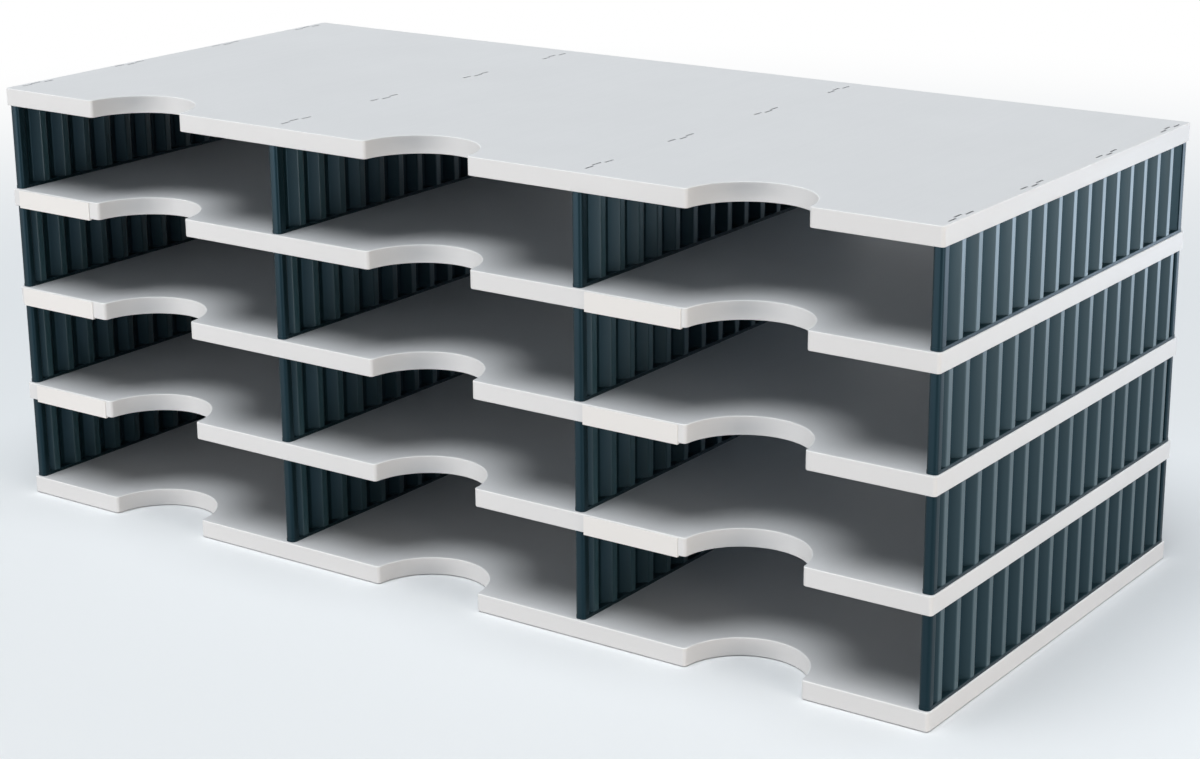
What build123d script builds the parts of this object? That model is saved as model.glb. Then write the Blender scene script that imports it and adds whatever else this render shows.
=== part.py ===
"""Desk-top document sorter: moulded boards plugged onto corrugated dividers, in rows and columns of open bays."""

import os

from build123d import *

# Layout of the bays, in millimetres
columns = 3
rows = 4
column_pitch = 238.0  # one divider line to the next
bay_height = 58.4  # clear height between two boards
side_margin = 4.5  # outer divider line to the boards' side faces

# Boards: a deck carried on a skirt, on rails under the divider lines and on ribs
board_depth = 331.0
board_thickness = 12.0
corner_bevel = 2.0
deck_thickness = 3.0
skirt_wall = 3.0
rail_width = 12.0
rib_wall = 2.4
notch_radius = 40.0  # half-round finger notch in the front edge of every bay

# Dividers: a corrugated wall between two end posts, on a foot flange
divider_inset = 2.0  # end posts to the boards' front and back edges
divider_thickness = 7.0  # crest to crest
divider_wall = 1.8
wave_count = 16  # whole corrugations from end post to end post
crest_flat = 4.2
post_width = 6.6
post_bevel = 2.0
flange_height = 2.0
flange_lip = 0.2  # how far the flange stands out past the crests
row_turned = (False, False, False, True)  # rows whose dividers stand the other way round

# Plug-in joints: chevron tongues go down into slots, the top edge goes up into a channel
tongue_count = 4
tongue_inset = 22.9  # divider's ends to the middle of its first and last tongue
tongue_length = 30.0
tongue_wall = 1.0
tongue_height = 6.0
channel_depth = 2.0
side_clearance = 0.15
end_clearance = 0.5

# Label strips: a flat face with a lip that turns back under the board's front edge
label_boards = (1, 2, 3)  # boards that carry labels, counted up from the base
label_length = 68.0
label_thickness = 0.8
label_top_margin = 0.6
label_lip_height = 1.0
label_lip_depth = 1.5
left_label_starts = (10.0, 4.0, 7.0)  # from the boards' side face, as each strip was put on
right_label_starts = (2.0, 2.0, 4.0)  # from the divider beside it

# Worked out from the sizes above
row_pitch = bay_height + board_thickness
board_width = columns * column_pitch + 2 * side_margin
line_x = [(line - columns / 2) * column_pitch for line in range(columns + 1)]
bay_x = [(line_x[bay] + line_x[bay + 1]) / 2 for bay in range(columns)]
front_y = -board_depth / 2
divider_depth = board_depth - 2 * divider_inset
post_spacing = divider_depth - post_width
half_wave = post_spacing / wave_count / 2
wave_reach = (divider_thickness - divider_wall) / 2
tongue_spacing = (divider_depth - 2 * tongue_inset) / (tongue_count - 1)
tongue_y = [tongue_inset - divider_depth / 2 + tongue * tongue_spacing for tongue in range(tongue_count)]
pocket_depth = board_thickness - deck_thickness

os.makedirs("parts", exist_ok=True)


def crest_side(crest):
    """Side of the divider that a crest stands out on: odd ones on one side, even ones on the other."""
    return 1 if crest % 2 else -1


def wave_points():
    """Centre line of the corrugated wall from post to post, as (across, along) points."""
    points = []
    for crest in range(-wave_count, wave_count + 1):
        for end in (-crest_flat / 2, crest_flat / 2):
            points.append((crest_side(crest) * wave_reach, crest * half_wave + end))
    # The first and last crests are half as long, because they end inside the posts
    points[0] = (points[0][0], -post_spacing / 2)
    points[-1] = (points[-1][0], post_spacing / 2)
    return points


def chevron_points(middle, spare):
    """Centre line of one tongue or slot, bent towards the nearest crest; spare lengthens it at both ends."""
    reach = crest_side(round(middle / half_wave)) * wave_reach
    half = tongue_length / 2
    past = spare * 2 * reach / half
    return [(-reach - past, middle - half - spare), (reach, middle), (-reach - past, middle + half + spare)]


def divider_plane(x, z, turned):
    """Plane at the foot of a divider; a turned one faces the other way."""
    return Plane(origin=(x, 0, z), x_dir=(-1 if turned else 1, 0, 0), z_dir=(0, 0, 1))


def make_board(z, turned):
    """One board with its underside at z; turned is how the dividers on top of it stand."""
    notch_block = 2 * (notch_radius + skirt_wall)
    with BuildPart() as board:
        # Deck outline with a half-round notch in front of every bay
        with BuildSketch(Plane.XY.offset(z)) as outline:
            Rectangle(board_width, board_depth)
            with Locations(*[(x, front_y) for x in bay_x]):
                Circle(notch_radius, mode=Mode.SUBTRACT)
            chamfer(outline.vertices(), corner_bevel)
        extrude(amount=board_thickness)
        # Pockets in the underside of every bay, round the notch and on both sides of a middle rib
        with BuildSketch(Plane.XY.offset(z)):
            with Locations(*[(x, 0) for x in bay_x]):
                Rectangle(column_pitch - rail_width, board_depth - 2 * skirt_wall)
                Rectangle(rib_wall, board_depth, mode=Mode.SUBTRACT)
            with Locations(*[(x, front_y) for x in bay_x]):
                Rectangle(notch_block, notch_block, mode=Mode.SUBTRACT)
        extrude(amount=pocket_depth, mode=Mode.SUBTRACT)
        # Chevron slots in the top of the rails
        for x in line_x:
            with BuildSketch(divider_plane(x, z + board_thickness, turned)):
                for middle in tongue_y:
                    with BuildLine():
                        Polyline(*chevron_points(middle, side_clearance))
                    trace(line_width=tongue_wall + 2 * side_clearance)
            extrude(amount=-tongue_height - end_clearance, mode=Mode.SUBTRACT)
        # Channels in the underside of the rails
        with BuildSketch(Plane.XY.offset(z)):
            with Locations(*[(x, 0) for x in line_x]):
                Rectangle(divider_thickness + 2 * side_clearance, divider_depth + 2 * side_clearance)
        extrude(amount=channel_depth, mode=Mode.SUBTRACT)
    return board.part


def make_divider(x, z, turned):
    """One divider standing on a deck at height z, with its top edge up in the next board's channel."""
    foot = divider_plane(x, z, turned)
    with BuildPart() as divider:
        # Corrugated wall running from post to post
        with BuildSketch(foot):
            with BuildLine():
                Polyline(*wave_points())
            trace(line_width=divider_wall)
        extrude(amount=bay_height + channel_depth)
        # End posts, bevelled on their outer edges
        with BuildSketch(foot) as posts:
            with GridLocations(0, post_spacing, 1, 2):
                Rectangle(divider_thickness, post_width)
            corners = posts.vertices().group_by(Axis.Y)
            chamfer(corners[0] + corners[-1], post_bevel)
        extrude(amount=bay_height + channel_depth)
        # Foot flange under the wall
        with BuildSketch(foot):
            Rectangle(divider_thickness + 2 * flange_lip, post_spacing)
        extrude(amount=flange_height)
        # Chevron tongues under the flange
        with BuildSketch(foot):
            for middle in tongue_y:
                with BuildLine():
                    Polyline(*chevron_points(middle, 0))
                trace(line_width=tongue_wall)
        extrude(amount=-tongue_height)
    return divider.part


def make_label(left, z):
    """One label strip with its left end at left, on the front edge of a board with its underside at z."""
    with BuildPart() as label:
        with BuildSketch(Plane.YZ.offset(left)):
            with BuildLine():
                Polyline(
                    (front_y, z),
                    (front_y, z + board_thickness - label_top_margin),
                    (front_y - label_thickness, z + board_thickness - label_top_margin),
                    (front_y - label_thickness, z - label_lip_height),
                    (front_y + label_lip_depth, z - label_lip_height),
                    (front_y + label_lip_depth, z),
                    close=True,
                )
            make_face()
        extrude(amount=label_length)
    return label.part


def save(part, name):
    """Names a finished piece and writes it."""
    part.label = name
    export_step(part, f"parts/{name}.step")


board_names = ["base_board"] + [f"shelf_board_{row}" for row in range(1, rows)] + ["top_board"]
for level, name in enumerate(board_names):
    turned = row_turned[level] if level < rows else False
    save(make_board(level * row_pitch, turned), name)

line_names = ["left"] + [f"inner_{line}" for line in range(1, columns)] + ["right"]
for row in range(rows):
    deck_z = row * row_pitch + board_thickness
    for x, name in zip(line_x, line_names):
        save(make_divider(x, deck_z, row_turned[row]), f"divider_row_{row + 1}_{name}")

left_edge = line_x[0] - side_margin
right_edge = line_x[-2] + divider_thickness / 2
for board, left, right in zip(label_boards, left_label_starts, right_label_starts):
    save(make_label(left_edge + left, board * row_pitch), f"label_strip_left_{board}")
    save(make_label(right_edge + right, board * row_pitch), f"label_strip_right_{board}")
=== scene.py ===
"""The look of a desk-top document sorter: soft-edged boards, corrugated dividers, labels and a stage."""

import math

import bmesh
import bpy
from bpy.props import FloatProperty, FloatVectorProperty, IntProperty, PointerProperty
from mathutils import Matrix, Vector
from mathutils.geometry import delaunay_2d_cdt


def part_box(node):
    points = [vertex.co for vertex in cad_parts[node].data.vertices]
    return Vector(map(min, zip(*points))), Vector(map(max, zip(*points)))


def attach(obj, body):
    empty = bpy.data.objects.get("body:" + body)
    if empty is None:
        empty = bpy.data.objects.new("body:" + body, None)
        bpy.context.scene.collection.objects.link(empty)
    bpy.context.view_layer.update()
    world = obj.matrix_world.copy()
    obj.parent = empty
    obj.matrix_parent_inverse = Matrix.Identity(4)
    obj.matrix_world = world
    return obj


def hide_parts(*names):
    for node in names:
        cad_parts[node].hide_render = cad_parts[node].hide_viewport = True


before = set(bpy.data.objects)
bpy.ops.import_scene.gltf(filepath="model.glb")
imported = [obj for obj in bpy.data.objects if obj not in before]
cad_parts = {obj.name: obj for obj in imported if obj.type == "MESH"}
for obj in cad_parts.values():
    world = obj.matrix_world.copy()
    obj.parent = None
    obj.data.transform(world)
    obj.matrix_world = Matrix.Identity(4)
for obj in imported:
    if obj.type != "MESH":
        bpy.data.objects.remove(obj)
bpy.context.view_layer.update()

bl_info = {
    "name": "Document Sorter",
    "version": (1, 0, 0),
    "blender": (4, 5, 0),
    "location": "View3D > Sidebar > Sorter",
    "description": "Builds the boards, corrugated dividers, label strips and stage of a document sorter",
    "category": "Add Mesh",
}

BOARDS = ["base_board", "shelf_board_1", "shelf_board_2", "shelf_board_3", "top_board"]  # from the base up
LINES = ["left", "inner_1", "inner_2", "right"]  # divider lines, from left to right
ROWS = len(BOARDS) - 1
TURNED_ROWS = (4,)  # rows whose dividers stand the other way round, counted from one

# How finely round stretches are divided
CORNER_STEPS = 6
NOTCH_STEPS = 40
BOARD_EDGE_STEPS = 4
FOLD_STEPS = 5
LABEL_EDGE_STEPS = 3

# How outlines are rounded and filled, and how faces are shaded
STRAIGHT = math.radians(178)  # a corner more open than this isn't rounded
ARC_SHARE = 0.45  # the most of an edge that the arc at one end of it takes up
HALFWAY_ROUND = 0.3  # inset and drop halfway round a small edge, as a share of its radius
INSIDE_ONLY = 1  # the kind of filling that leaves out what lies outside an outline
SAME_POINT = 1e-7  # points nearer together than this are one
SHARP_ANGLE = math.radians(40)  # edges that turn by more than this stay sharp

# Wear and painted highlight: masks are nothing on plain faces and one where a piece is rubbed most or gets
# the strongest painted highlight
CREST_HIGHLIGHT_SHARPNESS = 4  # how steeply the painted crest highlight and the polish fade beside a crest
RUBBED = 1.0

# Lamps: where each stands and the point that it faces, then for a soft box its width and height, in metres
KEY_LIGHT = ((0.0, -0.43, 2.0), (0.0, 0.0, 0.0))
FRONT_BOX = ((-0.8, -2.0, 0.13), (0.0, 0.0, 0.15), (2.0, 0.22))
SIDE_BOX = ((2.0, -0.55, 0.20), (0.3, 0.0, 0.15), (0.9, 0.36))
RIM_BOX = ((0.72, 0.50, 0.16), (0.3, -0.1, 0.2), (0.5, 0.22))
KEY_SPREAD = math.radians(50)
RIM_SPREAD = math.radians(80)

# Floor and camera
FLOOR_REACH = 9.0  # metres from the object to the floor's edges
FLOOR_HEIGHT = -0.0003  # just under the object, so that the two don't share a plane
SENSOR_WIDTH = 36.0  # millimetres
WHITE = (1.0, 1.0, 1.0, 1.0)


def line_positions():
    """Where the divider lines stand, from left to right."""
    places = []
    for line in LINES:
        low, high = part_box(f"divider_row_1_{line}")
        places.append((low.x + high.x) / 2)
    return places


def bay_positions():
    """Middles of the bays, from left to right."""
    lines = line_positions()
    return [(a + b) / 2 for a, b in zip(lines, lines[1:])]


# Outlines: lists of flat points that run anticlockwise


def arc(centre, radius, start, end, steps):
    """Points on an arc between two angles in degrees, both ends included."""
    points = []
    for step in range(steps + 1):
        angle = math.radians(start + (end - start) * step / steps)
        points.append((centre[0] + radius * math.cos(angle), centre[1] + radius * math.sin(angle)))
    return points


def unit(a, b):
    """Direction from one point to another."""
    length = math.hypot(b[0] - a[0], b[1] - a[1])
    return (b[0] - a[0]) / length, (b[1] - a[1]) / length


def rounded(points, radii, steps):
    """A closed outline with its corners turned into arcs; a radius of nothing leaves a corner as it is."""
    result = []
    count = len(points)
    for index, corner in enumerate(points):
        before, after = points[index - 1], points[(index + 1) % count]
        back, ahead = unit(corner, before), unit(corner, after)
        opening = math.acos(max(-1.0, min(1.0, back[0] * ahead[0] + back[1] * ahead[1])))
        radius = radii[index]
        if radius <= 0 or opening > STRAIGHT:
            result.append(corner)
            continue
        longest = ARC_SHARE * min(math.dist(corner, before), math.dist(corner, after))
        along = min(radius / math.tan(opening / 2), longest)
        radius = along * math.tan(opening / 2)
        middle = (back[0] + ahead[0], back[1] + ahead[1])
        size = math.hypot(*middle)
        depth = radius / math.sin(opening / 2)
        centre = (corner[0] + middle[0] / size * depth, corner[1] + middle[1] / size * depth)
        first = (corner[0] + back[0] * along, corner[1] + back[1] * along)
        last = (corner[0] + ahead[0] * along, corner[1] + ahead[1] * along)
        start = math.atan2(first[1] - centre[1], first[0] - centre[0])
        turn = math.atan2(last[1] - centre[1], last[0] - centre[0]) - start
        turn = (turn + math.pi) % (2 * math.pi) - math.pi
        result += arc(centre, radius, math.degrees(start), math.degrees(start + turn), steps)
    return result


def moved_in(points, distance):
    """A closed outline with its edges moved inwards, or outwards where the distance is negative."""
    result = []
    count = len(points)
    for index, corner in enumerate(points):
        into, out = unit(points[index - 1], corner), unit(corner, points[(index + 1) % count])
        side = (-into[1] - out[1], into[0] + out[0])
        scale = distance / (1 + into[0] * out[0] + into[1] * out[1])
        result.append((corner[0] + side[0] * scale, corner[1] + side[1] * scale))
    return result


def both_sides(points, width):
    """The two edges of a strip that follows a bent line, as right-hand and left-hand points."""
    sides = []
    for hand in (-1, 1):
        edge = []
        for index, point in enumerate(points):
            into = unit(points[max(index - 1, 0)], points[max(index, 1)])
            out = unit(points[min(index, len(points) - 2)], points[min(index + 1, len(points) - 1)])
            side = (-into[1] - out[1], into[0] + out[0])
            scale = hand * width / 2 / (1 + into[0] * out[0] + into[1] * out[1])
            edge.append((point[0] + side[0] * scale, point[1] + side[1] * scale))
        sides.append(edge)
    return sides


def rectangle(x, y, half_width, half_length):
    """Outline of a rectangle round its middle."""
    return [
        (x - half_width, y - half_length), (x + half_width, y - half_length),
        (x + half_width, y + half_length), (x - half_width, y + half_length),
    ]


def area(points):
    """Signed area of an outline."""
    return sum(a[0] * b[1] - b[0] * a[1] for a, b in zip(points, points[1:] + points[:1])) / 2


def anticlockwise(points):
    """The outline, turned round if it runs clockwise."""
    return points if area(points) > 0 else points[::-1]


class Moulding:
    """Collects the rings, walls and flat faces of one moulded piece."""

    def __init__(self):
        self.points = []
        self.faces = []
        self.wear_and_highlight_mask = []

    def ring(self, outline, height, mask=0.0):
        """Adds a closed ring of points, with one mask value or a list of them, and returns their numbers."""
        start = len(self.points)
        self.points += [(x, y, height) for x, y in outline]
        self.wear_and_highlight_mask += mask if isinstance(mask, list) else [mask] * len(outline)
        return list(range(start, start + len(outline)))

    def wall(self, low, high):
        """Joins two rings of as many points."""
        count = len(low)
        for index in range(count):
            after = (index + 1) % count
            self.faces.append((low[index], low[after], high[after], high[index]))

    def stack(self, rings):
        """Joins rings one after another and returns the first and the last."""
        for low, high in zip(rings, rings[1:]):
            self.wall(low, high)
        return rings[0], rings[-1]

    def flat(self, outer, holes=()):
        """Fills a ring, leaving out the rings inside it."""
        numbers = []
        loops = []
        for loop in (outer, *holes):
            loops.append(list(range(len(numbers), len(numbers) + len(loop))))
            numbers += loop
        spots = [Vector(self.points[number][:2]) for number in numbers]
        _, _, triangles, sources, _, inside = delaunay_2d_cdt(spots, [], loops, INSIDE_ONLY, SAME_POINT)
        for triangle, loops_around in zip(triangles, inside):
            if loops_around == [0]:
                self.faces.append(tuple(numbers[sources[corner][0]] for corner in triangle))

    def piece(self, name, material, turn=None):
        """Makes the object, with its normals outwards and shaded smooth between its sharp edges."""
        mesh = bpy.data.meshes.new(name)
        mesh.from_pydata([Vector(point) for point in self.points], [], self.faces)
        # Per-point mask that lightens colour on edges and crests: edge wear together with a painted highlight
        mask = mesh.attributes.new("wear_and_highlight_mask", "FLOAT", "POINT")
        mask.data.foreach_set("value", self.wear_and_highlight_mask)
        shape = bmesh.new()
        shape.from_mesh(mesh)
        bmesh.ops.recalc_face_normals(shape, faces=shape.faces)
        for face in shape.faces:
            face.smooth = True
        shape.to_mesh(mesh)
        shape.free()
        if turn is not None:
            mesh.transform(turn)
        mesh.set_sharp_from_angle(angle=SHARP_ANGLE)
        mesh.materials.append(material)
        piece = bpy.data.objects.new(name, mesh)
        bpy.context.scene.collection.objects.link(piece)
        weighted = piece.modifiers.new("Flat faces stay flat", "WEIGHTED_NORMAL")
        weighted.mode = "FACE_AREA"
        weighted.weight = 100
        weighted.keep_sharp = True
        return piece


def soft_edge(radius, steps):
    """Inset, drop and mask of the rings that round an edge over, from the side face to the flat face; the
    mask, highest halfway round, carries edge wear and a painted highlight line.
    """
    rings = []
    for step in range(steps + 1):
        angle = math.pi / 2 * step / steps
        rings.append((radius * (1 - math.cos(angle)), radius * (1 - math.sin(angle)), math.sin(2 * angle)))
    return rings


# Settings that a user would change


class SorterBoards(bpy.types.PropertyGroup):
    """Sizes and finish of the boards."""

    notch_radius: FloatProperty(
        name="Notch radius", description="Radius of the half-round finger notches", default=0.040,
        unit="LENGTH", subtype="DISTANCE")
    lip_radius: FloatProperty(
        name="Lip radius", description="Rounding where a notch meets the front edge", default=0.0025,
        unit="LENGTH", subtype="DISTANCE")
    corner_radius: FloatProperty(
        name="Corner radius", description="Rounding of the upright corners", default=0.0024,
        unit="LENGTH", subtype="DISTANCE")
    edge_radius: FloatProperty(
        name="Edge radius", description="Rounding of the upper and lower edges", default=0.0007,
        unit="LENGTH", subtype="DISTANCE")
    slot_edge: FloatProperty(
        name="Slot edge", description="Softening of the rims of the slots", default=0.00008,
        unit="LENGTH", subtype="DISTANCE")
    skirt_wall: FloatProperty(
        name="Skirt wall", description="Thickness of the skirt under the deck", default=0.0030,
        unit="LENGTH", subtype="DISTANCE")
    rail_width: FloatProperty(
        name="Rail width", description="Width of the rails under the divider lines", default=0.0120,
        unit="LENGTH", subtype="DISTANCE")
    rib_wall: FloatProperty(
        name="Rib wall", description="Thickness of the rib in the middle of every bay", default=0.0024,
        unit="LENGTH", subtype="DISTANCE")
    deck_thickness: FloatProperty(
        name="Deck thickness", description="Thickness of the deck over its pockets", default=0.0030,
        unit="LENGTH", subtype="DISTANCE")
    channel_depth: FloatProperty(
        name="Channel depth", description="How far a divider's top edge stands in the board", default=0.0020,
        unit="LENGTH", subtype="DISTANCE")
    clearance: FloatProperty(
        name="Clearance", description="Play round a plugged-in divider", default=0.00015,
        unit="LENGTH", subtype="DISTANCE")
    end_clearance: FloatProperty(
        name="End clearance", description="Room under the tip of a tongue", default=0.0005,
        unit="LENGTH", subtype="DISTANCE")
    colour: FloatVectorProperty(
        name="Colour", description="Pale grey of the boards", default=(0.725, 0.742, 0.758), size=3,
        min=0.0, max=1.0, subtype="COLOR")


class SorterDividers(bpy.types.PropertyGroup):
    """Sizes and finish of the dividers."""

    waves: IntProperty(
        name="Waves", description="Whole corrugations from end post to end post", default=16, min=1)
    thickness: FloatProperty(
        name="Thickness", description="From crest to crest", default=0.0070,
        unit="LENGTH", subtype="DISTANCE")
    wall: FloatProperty(
        name="Wall", description="Thickness of the corrugated wall", default=0.0018,
        unit="LENGTH", subtype="DISTANCE")
    crest_flat: FloatProperty(
        name="Crest flat", description="Flat length of each crest", default=0.0042,
        unit="LENGTH", subtype="DISTANCE")
    crest_radius: FloatProperty(
        name="Crest radius", description="Rounding of the folds of the wall", default=0.0020,
        unit="LENGTH", subtype="DISTANCE")
    post_width: FloatProperty(
        name="Post width", description="Length of an end post", default=0.0066,
        unit="LENGTH", subtype="DISTANCE")
    post_radius: FloatProperty(
        name="Post radius", description="Rounding of the posts' outer edges", default=0.0024,
        unit="LENGTH", subtype="DISTANCE")
    top_radius: FloatProperty(
        name="Top radius", description="Rounding of the upper edge", default=0.0003,
        unit="LENGTH", subtype="DISTANCE")
    flange_height: FloatProperty(
        name="Flange height", description="Height of the foot flange", default=0.0020,
        unit="LENGTH", subtype="DISTANCE")
    flange_lip: FloatProperty(
        name="Flange lip", description="How far the flange stands out past the crests", default=0.0002,
        unit="LENGTH", subtype="DISTANCE")
    tongues: IntProperty(name="Tongues", description="Tongues under each divider", default=4, min=2)
    tongue_inset: FloatProperty(
        name="Tongue inset", description="A divider's end to the middle of its last tongue", default=0.0229,
        unit="LENGTH", subtype="DISTANCE")
    tab_length: FloatProperty(
        name="Tab length", description="Length of each of the three tabs of a tongue", default=0.0085,
        unit="LENGTH", subtype="DISTANCE")
    tab_offset: FloatProperty(
        name="Tab offset", description="How far the tabs stand to either side of the divider's middle",
        default=0.0010, unit="LENGTH", subtype="DISTANCE")
    tongue_wall: FloatProperty(
        name="Tongue wall", description="Thickness of each tongue", default=0.0010,
        unit="LENGTH", subtype="DISTANCE")
    tongue_height: FloatProperty(
        name="Tongue height", description="How far a tongue goes down into its slot", default=0.0060,
        unit="LENGTH", subtype="DISTANCE")
    colour: FloatVectorProperty(
        name="Colour", description="Blue-black of the dividers", default=(0.0028, 0.0110, 0.0140), size=3,
        min=0.0, max=1.0, subtype="COLOR")


class SorterLabels(bpy.types.PropertyGroup):
    """Sizes and finish of the label strips."""

    edge_radius: FloatProperty(
        name="Edge radius", description="Rounding of the strips' edges", default=0.00025,
        unit="LENGTH", subtype="DISTANCE")
    end_bevel: FloatProperty(
        name="End bevel", description="Bevel of the strips' ends", default=0.000125,
        unit="LENGTH", subtype="DISTANCE")
    colour: FloatVectorProperty(
        name="Colour", description="White of the strips", default=(0.79, 0.79, 0.785), size=3,
        min=0.0, max=1.0, subtype="COLOR")


class SorterStage(bpy.types.PropertyGroup):
    """Camera, lamps and floor."""

    azimuth: FloatProperty(
        name="Azimuth", description="How far round to the right the camera stands",
        default=math.radians(35.30), unit="ROTATION", subtype="ANGLE")
    elevation: FloatProperty(
        name="Elevation", description="How far down the camera looks", default=math.radians(17.19),
        unit="ROTATION", subtype="ANGLE")
    roll: FloatProperty(
        name="Roll", description="How far the camera leans", default=math.radians(-0.43),
        unit="ROTATION", subtype="ANGLE")
    eye: FloatVectorProperty(
        name="Eye", description="Where the camera stands", default=(0.9690, -1.3404, 0.6154), size=3,
        unit="LENGTH", subtype="TRANSLATION")
    lens: FloatProperty(
        name="Lens", description="Focal length in millimetres, on a 36 mm wide sensor",
        default=76.3, min=1.0, unit="CAMERA")
    key_strength: FloatProperty(
        name="Key light", description="Strength of the broad light from above, in watts per square metre",
        default=2.64, min=0.0)
    key_colour: FloatVectorProperty(
        name="Key colour", description="Colour of the light from above", default=(0.96, 0.98, 1.0), size=3,
        min=0.0, max=1.0, subtype="COLOR")
    front_power: FloatProperty(
        name="Front light", description="Power of the low soft box in front, in watts",
        default=24.5, min=0.0, unit="POWER")
    front_colour: FloatVectorProperty(
        name="Front colour", description="Colour of the soft box in front", default=(1.0, 0.94, 0.89), size=3,
        min=0.0, max=1.0, subtype="COLOR")
    side_power: FloatProperty(
        name="Side light", description="Power of the low soft box on the right, in watts",
        default=18.5, min=0.0, unit="POWER")
    side_colour: FloatVectorProperty(
        name="Side colour", description="Colour of the soft box on the right",
        default=(1.0, 0.89, 0.79), size=3, min=0.0, max=1.0, subtype="COLOR")
    rim_power: FloatProperty(
        name="Rim light", description="Power of the small lamp that glances along the side, in watts",
        default=0.30, min=0.0, unit="POWER")
    rim_colour: FloatVectorProperty(
        name="Rim colour", description="Colour of the lamp that glances along the side",
        default=(0.70, 0.84, 1.0), size=3, min=0.0, max=1.0, subtype="COLOR")
    sky: FloatProperty(
        name="Sky", description="Strength of the even light from all round", default=0.03, min=0.0)
    sky_colour: FloatVectorProperty(
        name="Sky colour", description="Colour of the even light from all round", default=(0.90, 0.96, 1.0),
        size=3, min=0.0, max=1.0, subtype="COLOR")
    floor_colour: FloatVectorProperty(
        name="Floor colour", description="Colour of the floor", default=(0.86, 0.89, 0.91), size=3,
        min=0.0, max=1.0, subtype="COLOR")
    floor_bounce: FloatVectorProperty(
        name="Floor bounce", description="Colour of the floor to light that it throws back at the object",
        default=(0.37, 0.39, 0.41), size=3, min=0.0, max=1.0, subtype="COLOR")
    floor_plain: FloatVectorProperty(
        name="Plain floor", description="Distances between which the floor fades to plain white",
        default=(0.75, 2.0), size=2, unit="LENGTH")


# Materials


def node(tree, kind, place, **inputs):
    """Adds one shader node and sets inputs by name, with _ for a space."""
    made = tree.nodes.new(kind)
    made.location = place
    for name, value in inputs.items():
        made.inputs[name.replace("_", " ")].default_value = value
    return made


def combined(tree, operation, place, first, second):
    """Adds a math node for two values, linked or plain, and returns its result."""
    made = node(tree, "ShaderNodeMath", place)
    made.operation = operation
    for socket, value in zip(made.inputs, (first, second)):
        if isinstance(value, float):
            socket.default_value = value
        else:
            tree.links.new(value, socket)
    return made.outputs["Value"]


def mixed(tree, place, share, first, second):
    """Adds a node that mixes two shaders by a share, and returns the mixture."""
    made = node(tree, "ShaderNodeMixShader", place)
    for socket, value in zip(made.inputs, (share, first, second)):
        tree.links.new(value, socket)
    return made.outputs["Shader"]


def swing(tree, place, noise):
    """Spreads what a noise node gives over minus one to one, and returns it."""
    spread = node(tree, "ShaderNodeMapRange", place, From_Min=0.3, From_Max=0.7, To_Min=-1.0, To_Max=1.0)
    tree.links.new(noise.outputs["Fac"], spread.inputs["Value"])
    return spread.outputs["Result"]


def moulded_surface():
    """Shared group: how moulded plastic varies over its surface, in colour, gloss and fine grain, with edge
    wear and a highlight painted onto edges and crests.
    """
    name = "Moulded surface"
    if name in bpy.data.node_groups:
        return bpy.data.node_groups[name]
    group = bpy.data.node_groups.new(name, "ShaderNodeTree")
    interface = group.interface
    interface.new_socket("Colour", in_out="INPUT", socket_type="NodeSocketColor")
    for label, default in (
        ("Gloss", 0.5), ("Mottle", 0.02), ("Mottle Scale", 14.0), ("Streak", 0.03), ("Edge Lift", 0.1),
        ("Polish", 0.0), ("Grain Scale", 1800.0),
    ):
        interface.new_socket(label, in_out="INPUT", socket_type="NodeSocketFloat").default_value = default
    interface.new_socket("Streak Scale", in_out="INPUT", socket_type="NodeSocketVector")
    interface.new_socket("Colour", in_out="OUTPUT", socket_type="NodeSocketColor")
    for label in ("Roughness", "Polish", "Height"):
        interface.new_socket(label, in_out="OUTPUT", socket_type="NodeSocketFloat")
    link = group.links.new
    given = node(group, "NodeGroupInput", (-1100, 0)).outputs
    result = node(group, "NodeGroupOutput", (900, 0)).inputs
    spot = node(group, "ShaderNodeTexCoord", (-1100, 400)).outputs["Object"]
    # Slow changes of shade over a hand's breadth
    mottle = node(group, "ShaderNodeTexNoise", (-800, 400), Detail=3.0, Roughness=0.55)
    link(spot, mottle.inputs["Vector"])
    link(given["Mottle Scale"], mottle.inputs["Scale"])
    shade = combined(group, "MULTIPLY", (-400, 400), swing(group, (-600, 400), mottle), given["Mottle"])
    # Streaks of gloss along the way that the plastic flowed
    stretch = node(group, "ShaderNodeVectorMath", (-800, 100))
    stretch.operation = "MULTIPLY"
    link(spot, stretch.inputs[0])
    link(given["Streak Scale"], stretch.inputs[1])
    streak = node(group, "ShaderNodeTexNoise", (-600, 100), Scale=1.0, Detail=4.0, Roughness=0.6)
    link(stretch.outputs["Vector"], streak.inputs["Vector"])
    drift = combined(group, "MULTIPLY", (-200, 100), swing(group, (-400, 100), streak), given["Streak"])
    link(combined(group, "ADD", (200, 100), given["Gloss"], drift), result["Roughness"])
    # Edges and crests made paler by the mask, as edge wear and as a painted highlight, and polished where the
    # mask is highest
    edge = node(group, "ShaderNodeAttribute", (-800, -200))
    edge.attribute_name = "wear_and_highlight_mask"
    wear_and_highlight_lift = combined(group, "MULTIPLY", (-400, -200), edge.outputs["Fac"], given["Edge Lift"])
    polish = combined(group, "MULTIPLY", (-400, -350), edge.outputs["Fac"], given["Polish"])
    link(polish, result["Polish"])
    change = combined(group, "ADD", (-100, 350), shade, wear_and_highlight_lift)
    tint = node(group, "ShaderNodeVectorMath", (400, 350))
    tint.operation = "SCALE"
    link(given["Colour"], tint.inputs[0])
    link(combined(group, "ADD", (100, 350), change, 1.0), tint.inputs["Scale"])
    link(tint.outputs["Vector"], result["Colour"])
    # Fine spark-eroded grain of the mould
    grain = node(group, "ShaderNodeTexNoise", (-600, -450), Detail=2.0, Roughness=0.5)
    link(spot, grain.inputs["Vector"])
    link(given["Grain Scale"], grain.inputs["Scale"])
    link(grain.outputs["Fac"], result["Height"])
    return group


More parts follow.
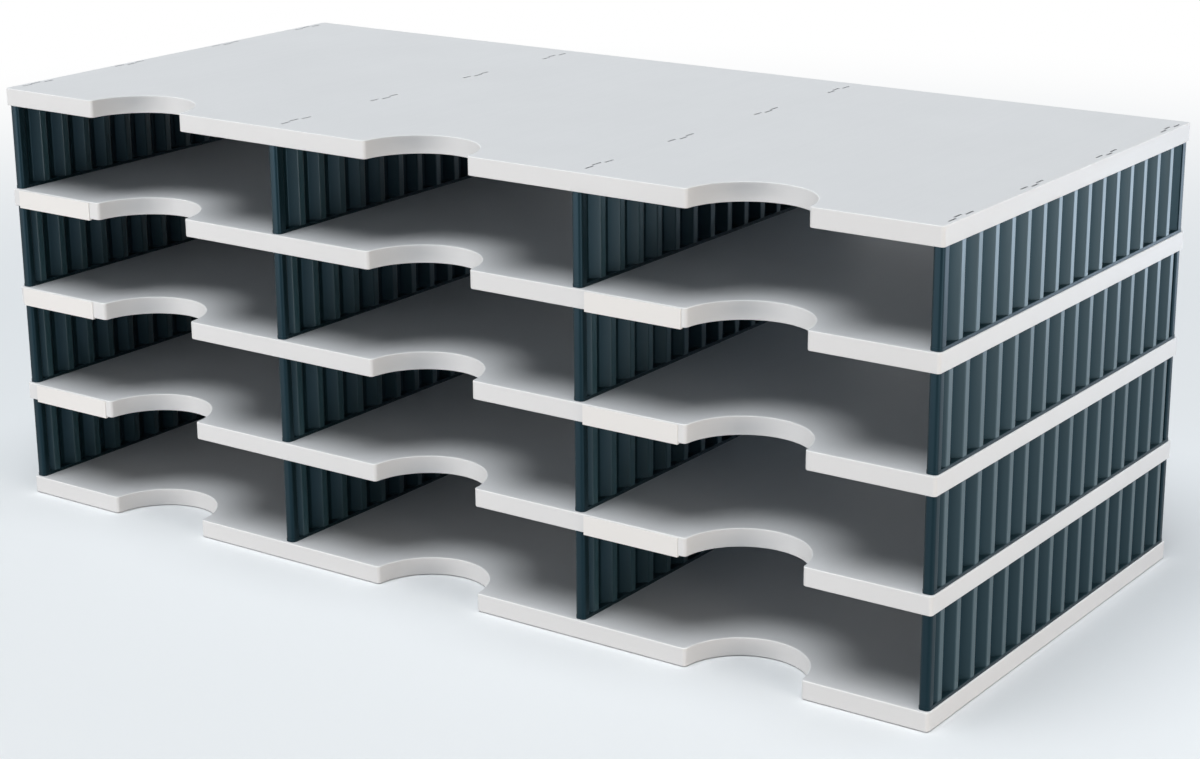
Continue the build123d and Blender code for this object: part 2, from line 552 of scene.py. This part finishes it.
def moulded_material(name, colour, gloss, streak_scale, depth, specular, sheen_tint, **values):
    """A plastic with the shared moulded surface."""
    material = bpy.data.materials.new(name)
    material.use_nodes = True
    tree = material.node_tree
    tree.nodes.clear()
    surface = node(tree, "ShaderNodeGroup", (-500, 0))
    surface.node_tree = moulded_surface()
    surface.inputs["Colour"].default_value = (*colour, 1.0)
    surface.inputs["Gloss"].default_value = gloss
    surface.inputs["Streak Scale"].default_value = streak_scale
    for label, value in values.items():
        surface.inputs[label.replace("_", " ")].default_value = value
    shader = node(
        tree, "ShaderNodeBsdfPrincipled", (0, 0), IOR=1.5, Specular_IOR_Level=specular,
        Specular_Tint=(*sheen_tint, 1.0), Coat_Roughness=gloss, Coat_IOR=1.8)
    bump = node(tree, "ShaderNodeBump", (-250, -250), Strength=0.35, Distance=depth)
    result = node(tree, "ShaderNodeOutputMaterial", (300, 0))
    link = tree.links.new
    link(surface.outputs["Colour"], shader.inputs["Base Color"])
    link(surface.outputs["Roughness"], shader.inputs["Roughness"])
    link(surface.outputs["Polish"], shader.inputs["Coat Weight"])
    link(surface.outputs["Height"], bump.inputs["Height"])
    link(bump.outputs["Normal"], shader.inputs["Normal"])
    link(shader.outputs["BSDF"], result.inputs["Surface"])
    return material


def dress(piece, node_name):
    """Sets a finished piece in place of its CAD node."""
    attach(piece, "root")
    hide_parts(node_name)


# Pieces


def crest_side(crest):
    """Side of the divider that a crest stands out on: odd ones on one side, even ones on the other."""
    return 1 if crest % 2 else -1


def crest_spacing(dividers, half_depth):
    """Distance along a divider from one crest to the next, which is on its other side."""
    return (half_depth - dividers.post_width / 2) / dividers.waves


def wave_line(dividers, half_depth):
    """Centre line of the corrugated wall."""
    spacing = crest_spacing(dividers, half_depth)
    reach = (dividers.thickness - dividers.wall) / 2
    points = []
    for crest in range(-dividers.waves, dividers.waves + 1):
        across = crest_side(crest) * reach
        points.append((across, crest * spacing - dividers.crest_flat / 2))
        points.append((across, crest * spacing + dividers.crest_flat / 2))
    return points


def between(points, start, end):
    """The stretch of a line between two distances along the divider, cut exactly at both."""
    result = []
    for a, b in zip(points, points[1:]):
        for limit in (start, end):
            if a[1] < limit < b[1]:
                share = (limit - a[1]) / (b[1] - a[1])
                result.append((a[0] + share * (b[0] - a[0]), limit))
        if start < b[1] < end:
            result.append(b)
    return result


def tab_outlines(dividers, half_depth, spare):
    """Outlines of a divider's tabs, three to a tongue, or with some spare room, of their slits."""
    outlines = []
    spacing = crest_spacing(dividers, half_depth)
    first = dividers.tongue_inset - half_depth
    step = -2 * first / (dividers.tongues - 1)
    half_wall = dividers.tongue_wall / 2 + spare
    half_length = dividers.tab_length / 2 + spare
    for tongue in range(dividers.tongues):
        middle = round((first + step * tongue) / spacing)
        for crest in (middle - 1, middle, middle + 1):
            across = crest_side(crest) * dividers.tab_offset
            outlines.append(rectangle(across, crest * spacing, half_wall, half_length))
    return outlines


def board_outline(boards, low, high, inset):
    """A board from above with its notches, moved inwards by an inset."""
    corner, lip, notch = boards.corner_radius, boards.lip_radius, boards.notch_radius
    reach = math.sqrt(notch * notch + 2 * notch * lip)
    tilt = math.degrees(math.asin(lip / (notch + lip)))
    points = arc((low.x + corner, low.y + corner), corner - inset, 180, 270, CORNER_STEPS)
    for x in bay_positions():
        points += arc((x - reach, low.y + lip), lip - inset, 270, 360 - tilt, CORNER_STEPS)
        points += arc((x, low.y), notch + inset, 180 - tilt, tilt, NOTCH_STEPS)[1:-1]
        points += arc((x + reach, low.y + lip), lip - inset, 180 + tilt, 270, CORNER_STEPS)
    points += arc((high.x - corner, low.y + corner), corner - inset, 270, 360, CORNER_STEPS)
    points += arc((high.x - corner, high.y - corner), corner - inset, 0, 90, CORNER_STEPS)
    points += arc((low.x + corner, high.y - corner), corner - inset, 90, 180, CORNER_STEPS)
    return points


def pocket_outlines(boards, low, high):
    """Pockets under one board: two in every bay, round the notch and on both sides of the rib."""
    block = boards.notch_radius + boards.skirt_wall
    front, back = low.y + boards.skirt_wall, high.y - boards.skirt_wall
    lines = line_positions()
    outlines = []
    for x, left, right in zip(bay_positions(), lines, lines[1:]):
        rib, rail = boards.rib_wall / 2, (right - left - boards.rail_width) / 2
        shape = [
            (rib, low.y + block), (block, low.y + block), (block, front),
            (rail, front), (rail, back), (rib, back),
        ]
        for side in (-1, 1):
            outlines.append(anticlockwise([(x + side * across, along) for across, along in shape]))
    return outlines


def make_board(boards, dividers, name, turned, material):
    """One board with soft edges, slots in its deck and ribs, rails and channels underneath."""
    low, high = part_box(name)
    divider_low, divider_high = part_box("divider_row_1_left")
    half_depth = (divider_high.y - divider_low.y) / 2
    moulding = Moulding()
    rounding = soft_edge(boards.edge_radius, BOARD_EDGE_STEPS)
    rings = []
    for inset, drop, mask in reversed(rounding):
        rings.append(moulding.ring(board_outline(boards, low, high, inset), low.z + drop, mask))
    for inset, drop, mask in rounding:
        rings.append(moulding.ring(board_outline(boards, low, high, inset), high.z - drop, mask))
    under, deck = moulding.stack(rings)
    # Slots for the dividers above
    mouths = []
    slot_floor = high.z - dividers.tongue_height - boards.end_clearance
    turn = -1 if turned else 1
    for x in line_positions():
        for outline in tab_outlines(dividers, half_depth, boards.clearance):
            outline = [(x + turn * across, turn * along) for across, along in outline]
            mouth = moulding.ring(moved_in(outline, -boards.slot_edge), high.z)
            throat = moulding.ring(outline, high.z - boards.slot_edge)
            foot = moulding.ring(outline, slot_floor)
            moulding.stack([mouth, throat, foot])
            moulding.flat(foot)
            mouths.append(mouth)
    moulding.flat(deck, mouths)
    # Pockets and channels underneath
    hollows = [(outline, high.z - boards.deck_thickness) for outline in pocket_outlines(boards, low, high)]
    half_channel = dividers.thickness / 2 + boards.clearance
    half_length = half_depth + boards.clearance
    for x in line_positions():
        channel = rectangle(x, 0.0, half_channel, half_length)
        hollows.append((channel, low.z + boards.channel_depth))
    openings = []
    for outline, ceiling in hollows:
        opening = moulding.ring(outline, low.z)
        top = moulding.ring(outline, ceiling)
        moulding.wall(opening, top)
        moulding.flat(top)
        openings.append(opening)
    moulding.flat(under, openings)
    piece = moulding.piece(f"{name}_moulding", material)
    dress(piece, name)


def divider_outline(dividers, half_depth):
    """A divider from above: the corrugated wall and both end posts, with rounded folds."""
    half = dividers.thickness / 2
    inner = half_depth - dividers.post_width
    right, left = both_sides(wave_line(dividers, half_depth), dividers.wall)
    right, left = between(right, -inner, inner), between(left, -inner, inner)
    post = [(half, inner), (half, half_depth), (-half, half_depth), (-half, inner)]
    fold, outer = dividers.crest_radius, dividers.post_radius
    points, radii = [], []
    for end, side in ((1, right), (-1, left[::-1])):
        points += side + [(end * across, end * along) for across, along in post]
        radii += [fold] * len(side) + [fold, outer, outer, fold]
    return rounded(points, radii, FOLD_STEPS)


def crest_highlight_and_polish(dividers, outline, half_depth):
    """How strongly each point of a divider's outline gets the painted crest highlight and the polish: most on
    the crests, not at all on the posts.
    """
    half = dividers.thickness / 2
    inner = half_depth - dividers.post_width
    shares = []
    for across, along in outline:
        # From nothing halfway out to one on a crest
        share = max(0.0, 2 * abs(across) / half - 1)
        shares.append(share ** CREST_HIGHLIGHT_SHARPNESS if abs(along) < inner else 0.0)
    return shares


def make_divider(dividers, name, turned, material):
    """One divider: foot flange with tongues, corrugated wall and end posts."""
    low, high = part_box(name)
    foot = low.z + dividers.tongue_height
    half_depth = (high.y - low.y) / 2
    moulding = Moulding()
    # Wall and posts
    outline = divider_outline(dividers, half_depth)
    # Mask for the highlight painted onto the crests' colour, which also sets where the glossier coat lies
    crest_highlight = crest_highlight_and_polish(dividers, outline, half_depth)
    rings = [moulding.ring(outline, foot + dividers.flange_height, crest_highlight)]
    edge = dividers.top_radius
    halfway = HALFWAY_ROUND * edge
    for inset, drop in ((0.0, edge), (halfway, halfway), (edge, 0.0)):
        rings.append(moulding.ring(moved_in(outline, inset), high.z - drop, crest_highlight))
    base, top = moulding.stack(rings)
    moulding.flat(top)
    # Flange
    half = dividers.thickness / 2 + dividers.flange_lip
    end = half_depth + dividers.flange_lip
    plate = [(half, -end), (half, end), (-half, end), (-half, -end)]
    plate = rounded(plate, [dividers.post_radius + dividers.flange_lip] * len(plate), CORNER_STEPS)
    bottom = moulding.ring(plate, foot)
    rim = moulding.ring(plate, foot + dividers.flange_height)
    moulding.wall(bottom, rim)
    moulding.flat(rim, [base])
    # Tongues
    roots = []
    for tab in tab_outlines(dividers, half_depth, 0.0):
        root = moulding.ring(tab, foot)
        tip = moulding.ring(tab, low.z)
        moulding.wall(root, tip)
        moulding.flat(tip)
        roots.append(root)
    moulding.flat(bottom, roots)
    place = Matrix.Translation(((low.x + high.x) / 2, (low.y + high.y) / 2, 0))
    if turned:
        place = place @ Matrix.Rotation(math.pi, 4, "Z")
    piece = moulding.piece(f"{name}_moulding", material, place)
    dress(piece, name)


def make_label(labels, name, material):
    """One label strip: a flat face with a lip that turns back under the board's edge."""
    low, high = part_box(name)
    # A strip's name ends in the number of its board
    board_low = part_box(BOARDS[int(name[-1])])[0]
    edge, bevel = labels.edge_radius, labels.end_bevel
    profile = [
        (low.y, low.z), (high.y, low.z), (high.y, board_low.z),
        (board_low.y, board_low.z), (board_low.y, high.z), (low.y, high.z),
    ]
    profile = rounded(profile, [edge, edge, edge, 0, edge, edge], LABEL_EDGE_STEPS)
    small = moved_in(profile, bevel)
    moulding = Moulding()
    rings = []
    for outline, x in ((small, low.x), (profile, low.x + bevel), (profile, high.x - bevel), (small, high.x)):
        rings.append(moulding.ring(outline, x, RUBBED))
    for end in moulding.stack(rings):
        moulding.flat(end)
    along_x = Matrix(((0, 0, 1, 0), (1, 0, 0, 0), (0, 1, 0, 0), (0, 0, 0, 1)))
    piece = moulding.piece(f"{name}_card", material, along_x)
    dress(piece, name)


class SORTER_OT_boards(bpy.types.Operator):
    """Make the boards, with their notches, slots and ribs"""

    bl_idname = "sorter.boards"
    bl_label = "Make boards"

    def execute(self, context):
        boards, dividers = context.scene.sorter_boards, context.scene.sorter_dividers
        # The colour lift on the rounded edges is edge wear together with a painted highlight line
        material = moulded_material(
            "Pale grey moulded plastic", boards.colour, gloss=0.50, streak_scale=(260.0, 7.0, 260.0),
            depth=0.00008, specular=0.36, sheen_tint=(1.0, 1.0, 1.0),
            Mottle=0.012, Streak=0.05, Edge_Lift=0.06, Grain_Scale=1500.0)
        # A board's slots take the dividers of the row above it
        for row_above, name in enumerate(BOARDS, start=1):
            make_board(boards, dividers, name, row_above in TURNED_ROWS, material)
        return {"FINISHED"}


class SORTER_OT_dividers(bpy.types.Operator):
    """Make the corrugated dividers of every row"""

    bl_idname = "sorter.dividers"
    bl_label = "Make dividers"

    def execute(self, context):
        dividers = context.scene.sorter_dividers
        # The colour lift paints a highlight onto the crests, and the polish gives them a glossier coat
        material = moulded_material(
            "Blue-black moulded plastic", dividers.colour, gloss=0.38, streak_scale=(220.0, 220.0, 9.0),
            depth=0.00004, specular=0.32, sheen_tint=(0.40, 0.72, 1.0),
            Mottle=0.06, Streak=0.07, Edge_Lift=2.6, Polish=0.5, Grain_Scale=2200.0)
        for row in range(1, ROWS + 1):
            for line in LINES:
                make_divider(dividers, f"divider_row_{row}_{line}", row in TURNED_ROWS, material)
        return {"FINISHED"}


class SORTER_OT_labels(bpy.types.Operator):
    """Make the blank label strips on the front edges"""

    bl_idname = "sorter.labels"
    bl_label = "Make label strips"

    def execute(self, context):
        labels = context.scene.sorter_labels
        material = moulded_material(
            "White label strip", labels.colour, gloss=0.55, streak_scale=(30.0, 600.0, 600.0),
            depth=0.00004, specular=0.35, sheen_tint=(1.0, 1.0, 1.0),
            Mottle=0.015, Streak=0.04, Edge_Lift=0.02, Grain_Scale=2600.0)
        for name in sorted(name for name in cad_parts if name.startswith("label_strip")):
            make_label(labels, name, material)
        return {"FINISHED"}


# Stage


def add_light(name, kind, place, target):
    """Adds a lamp that stands at a place and faces a point, and returns its light."""
    light = bpy.data.lights.new(name, kind)
    lamp = bpy.data.objects.new(name, light)
    lamp.location = place
    lamp.rotation_euler = (Vector(target) - Vector(place)).to_track_quat("-Z", "Y").to_euler()
    bpy.context.scene.collection.objects.link(lamp)
    return light


def soft_box(name, place, target, size, power, colour):
    """Adds a rectangular soft box that faces a point, and returns its light."""
    light = add_light(name, "AREA", place, target)
    light.shape = "RECTANGLE"
    light.size, light.size_y = size
    light.energy = power
    light.color = colour
    return light


def seen_or_mirrored(tree):
    """A mask that is one for what the eye sees, straight or by way of gloss and glass."""
    path = node(tree, "ShaderNodeLightPath", (-900, 300)).outputs
    mirrored = combined(tree, "MAXIMUM", (-700, 300), path["Is Glossy Ray"], path["Is Transmission Ray"])
    return combined(tree, "MAXIMUM", (-500, 300), path["Is Camera Ray"], mirrored)


def make_floor(stage):
    """A wide pale floor that keeps the shadow near the object and is plain white further off."""
    mesh = bpy.data.meshes.new("floor")
    corners = [(x, y, FLOOR_HEIGHT) for x, y in rectangle(0.0, 0.0, FLOOR_REACH, FLOOR_REACH)]
    mesh.from_pydata(corners, [], [(0, 1, 2, 3)])
    floor = bpy.data.objects.new("floor", mesh)
    bpy.context.scene.collection.objects.link(floor)
    material = bpy.data.materials.new("Pale floor")
    material.use_nodes = True
    tree = material.node_tree
    tree.nodes.clear()
    # How far a spot is from the object
    spot = node(tree, "ShaderNodeTexCoord", (-900, 0))
    distance = node(tree, "ShaderNodeVectorMath", (-700, 0))
    distance.operation = "LENGTH"
    tree.links.new(spot.outputs["Object"], distance.inputs[0])
    near, far = stage.floor_plain
    fade = node(tree, "ShaderNodeMapRange", (-500, 0), From_Min=near, From_Max=far)
    fade.interpolation_type = "SMOOTHSTEP"
    tree.links.new(distance.outputs["Value"], fade.inputs["Value"])
    # Pale to the eye, duller to the light that it throws back, and plain white further off
    seen = seen_or_mirrored(tree)
    dull = node(tree, "ShaderNodeBsdfDiffuse", (-500, -250), Color=(*stage.floor_bounce, 1.0))
    pale = node(tree, "ShaderNodeBsdfDiffuse", (-500, -400), Color=(*stage.floor_colour, 1.0))
    white = node(tree, "ShaderNodeEmission", (-300, -200), Color=WHITE, Strength=1.0)
    matt = mixed(tree, (-300, -50), seen, dull.outputs["BSDF"], pale.outputs["BSDF"])
    plain = combined(tree, "MULTIPLY", (-300, 150), seen, fade.outputs["Result"])
    blend = mixed(tree, (0, 0), plain, matt, white.outputs["Emission"])
    result = node(tree, "ShaderNodeOutputMaterial", (200, 0))
    tree.links.new(blend, result.inputs["Surface"])
    mesh.materials.append(material)


def make_sky(stage):
    """White to the eye and in reflections, and a weak even light on everything else."""
    sky = bpy.data.worlds.new("Studio")
    sky.use_nodes = True
    bpy.context.scene.world = sky
    tree = sky.node_tree
    tree.nodes.clear()
    soft = node(
        tree, "ShaderNodeBackground", (-200, 0), Color=(*stage.sky_colour, 1.0), Strength=stage.sky)
    white = node(tree, "ShaderNodeBackground", (-200, 200), Color=WHITE, Strength=1.0)
    seen = seen_or_mirrored(tree)
    blend = mixed(tree, (0, 100), seen, soft.outputs["Background"], white.outputs["Background"])
    result = node(tree, "ShaderNodeOutputWorld", (200, 100))
    tree.links.new(blend, result.inputs["Surface"])


def make_lamps(stage):
    """A broad light from above, low soft boxes in front and on the right, and a small one behind."""
    key = add_light("key_light", "SUN", *KEY_LIGHT)
    key.angle = KEY_SPREAD
    key.energy = stage.key_strength
    key.color = stage.key_colour
    soft_box("front_box", *FRONT_BOX, stage.front_power, stage.front_colour)
    soft_box("side_box", *SIDE_BOX, stage.side_power, stage.side_colour)
    rim = soft_box("rim_box", *RIM_BOX, stage.rim_power, stage.rim_colour)
    rim.spread = RIM_SPREAD


def make_camera(stage):
    """The camera, in front on the right and a little above the object."""
    turn, tilt, roll = stage.azimuth, stage.elevation, stage.roll
    ahead = Vector((-math.sin(turn) * math.cos(tilt), math.cos(turn) * math.cos(tilt), -math.sin(tilt)))
    right = Vector((math.cos(turn), math.sin(turn), 0.0))
    up = right.cross(ahead)
    right, up = math.cos(roll) * right + math.sin(roll) * up, math.cos(roll) * up - math.sin(roll) * right
    lens = bpy.data.cameras.new("camera")
    lens.sensor_width = SENSOR_WIDTH
    lens.lens = stage.lens
    camera = bpy.data.objects.new("camera", lens)
    axes = Matrix((right, up, -ahead)).transposed()
    camera.matrix_world = Matrix.Translation(stage.eye) @ axes.to_4x4()
    bpy.context.scene.collection.objects.link(camera)
    bpy.context.scene.camera = camera


class SORTER_OT_stage(bpy.types.Operator):
    """Make the floor, the lamps, the sky and the camera"""

    bl_idname = "sorter.stage"
    bl_label = "Make stage"

    def execute(self, context):
        stage = context.scene.sorter_stage
        context.scene.view_settings.view_transform = "Standard"
        make_floor(stage)
        make_sky(stage)
        make_lamps(stage)
        make_camera(stage)
        return {"FINISHED"}


# Panel and registration

OPERATORS = (SORTER_OT_boards, SORTER_OT_dividers, SORTER_OT_labels, SORTER_OT_stage)


class SORTER_PT_panel(bpy.types.Panel):
    """Lists the steps that build the sorter"""

    bl_idname = "SORTER_PT_panel"
    bl_label = "Document Sorter"
    bl_space_type = "VIEW_3D"
    bl_region_type = "UI"
    bl_category = "Sorter"

    def draw(self, context):
        for operator in OPERATORS:
            self.layout.operator(operator.bl_idname)


SETTINGS = {
    "sorter_boards": SorterBoards,
    "sorter_dividers": SorterDividers,
    "sorter_labels": SorterLabels,
    "sorter_stage": SorterStage,
}
CLASSES = (*SETTINGS.values(), *OPERATORS, SORTER_PT_panel)


def register():
    """Adds the classes and their settings."""
    for item in CLASSES:
        bpy.utils.register_class(item)
    for name, kind in SETTINGS.items():
        setattr(bpy.types.Scene, name, PointerProperty(type=kind))


def unregister():
    """Takes the settings and the classes away again."""
    for name in SETTINGS:
        delattr(bpy.types.Scene, name)
    for item in reversed(CLASSES):
        bpy.utils.unregister_class(item)


def main():
    """Builds the pieces and the stage."""
    register()
    bpy.ops.sorter.boards()
    bpy.ops.sorter.dividers()
    bpy.ops.sorter.labels()
    bpy.ops.sorter.stage()


if __name__ == "__main__":
    main()
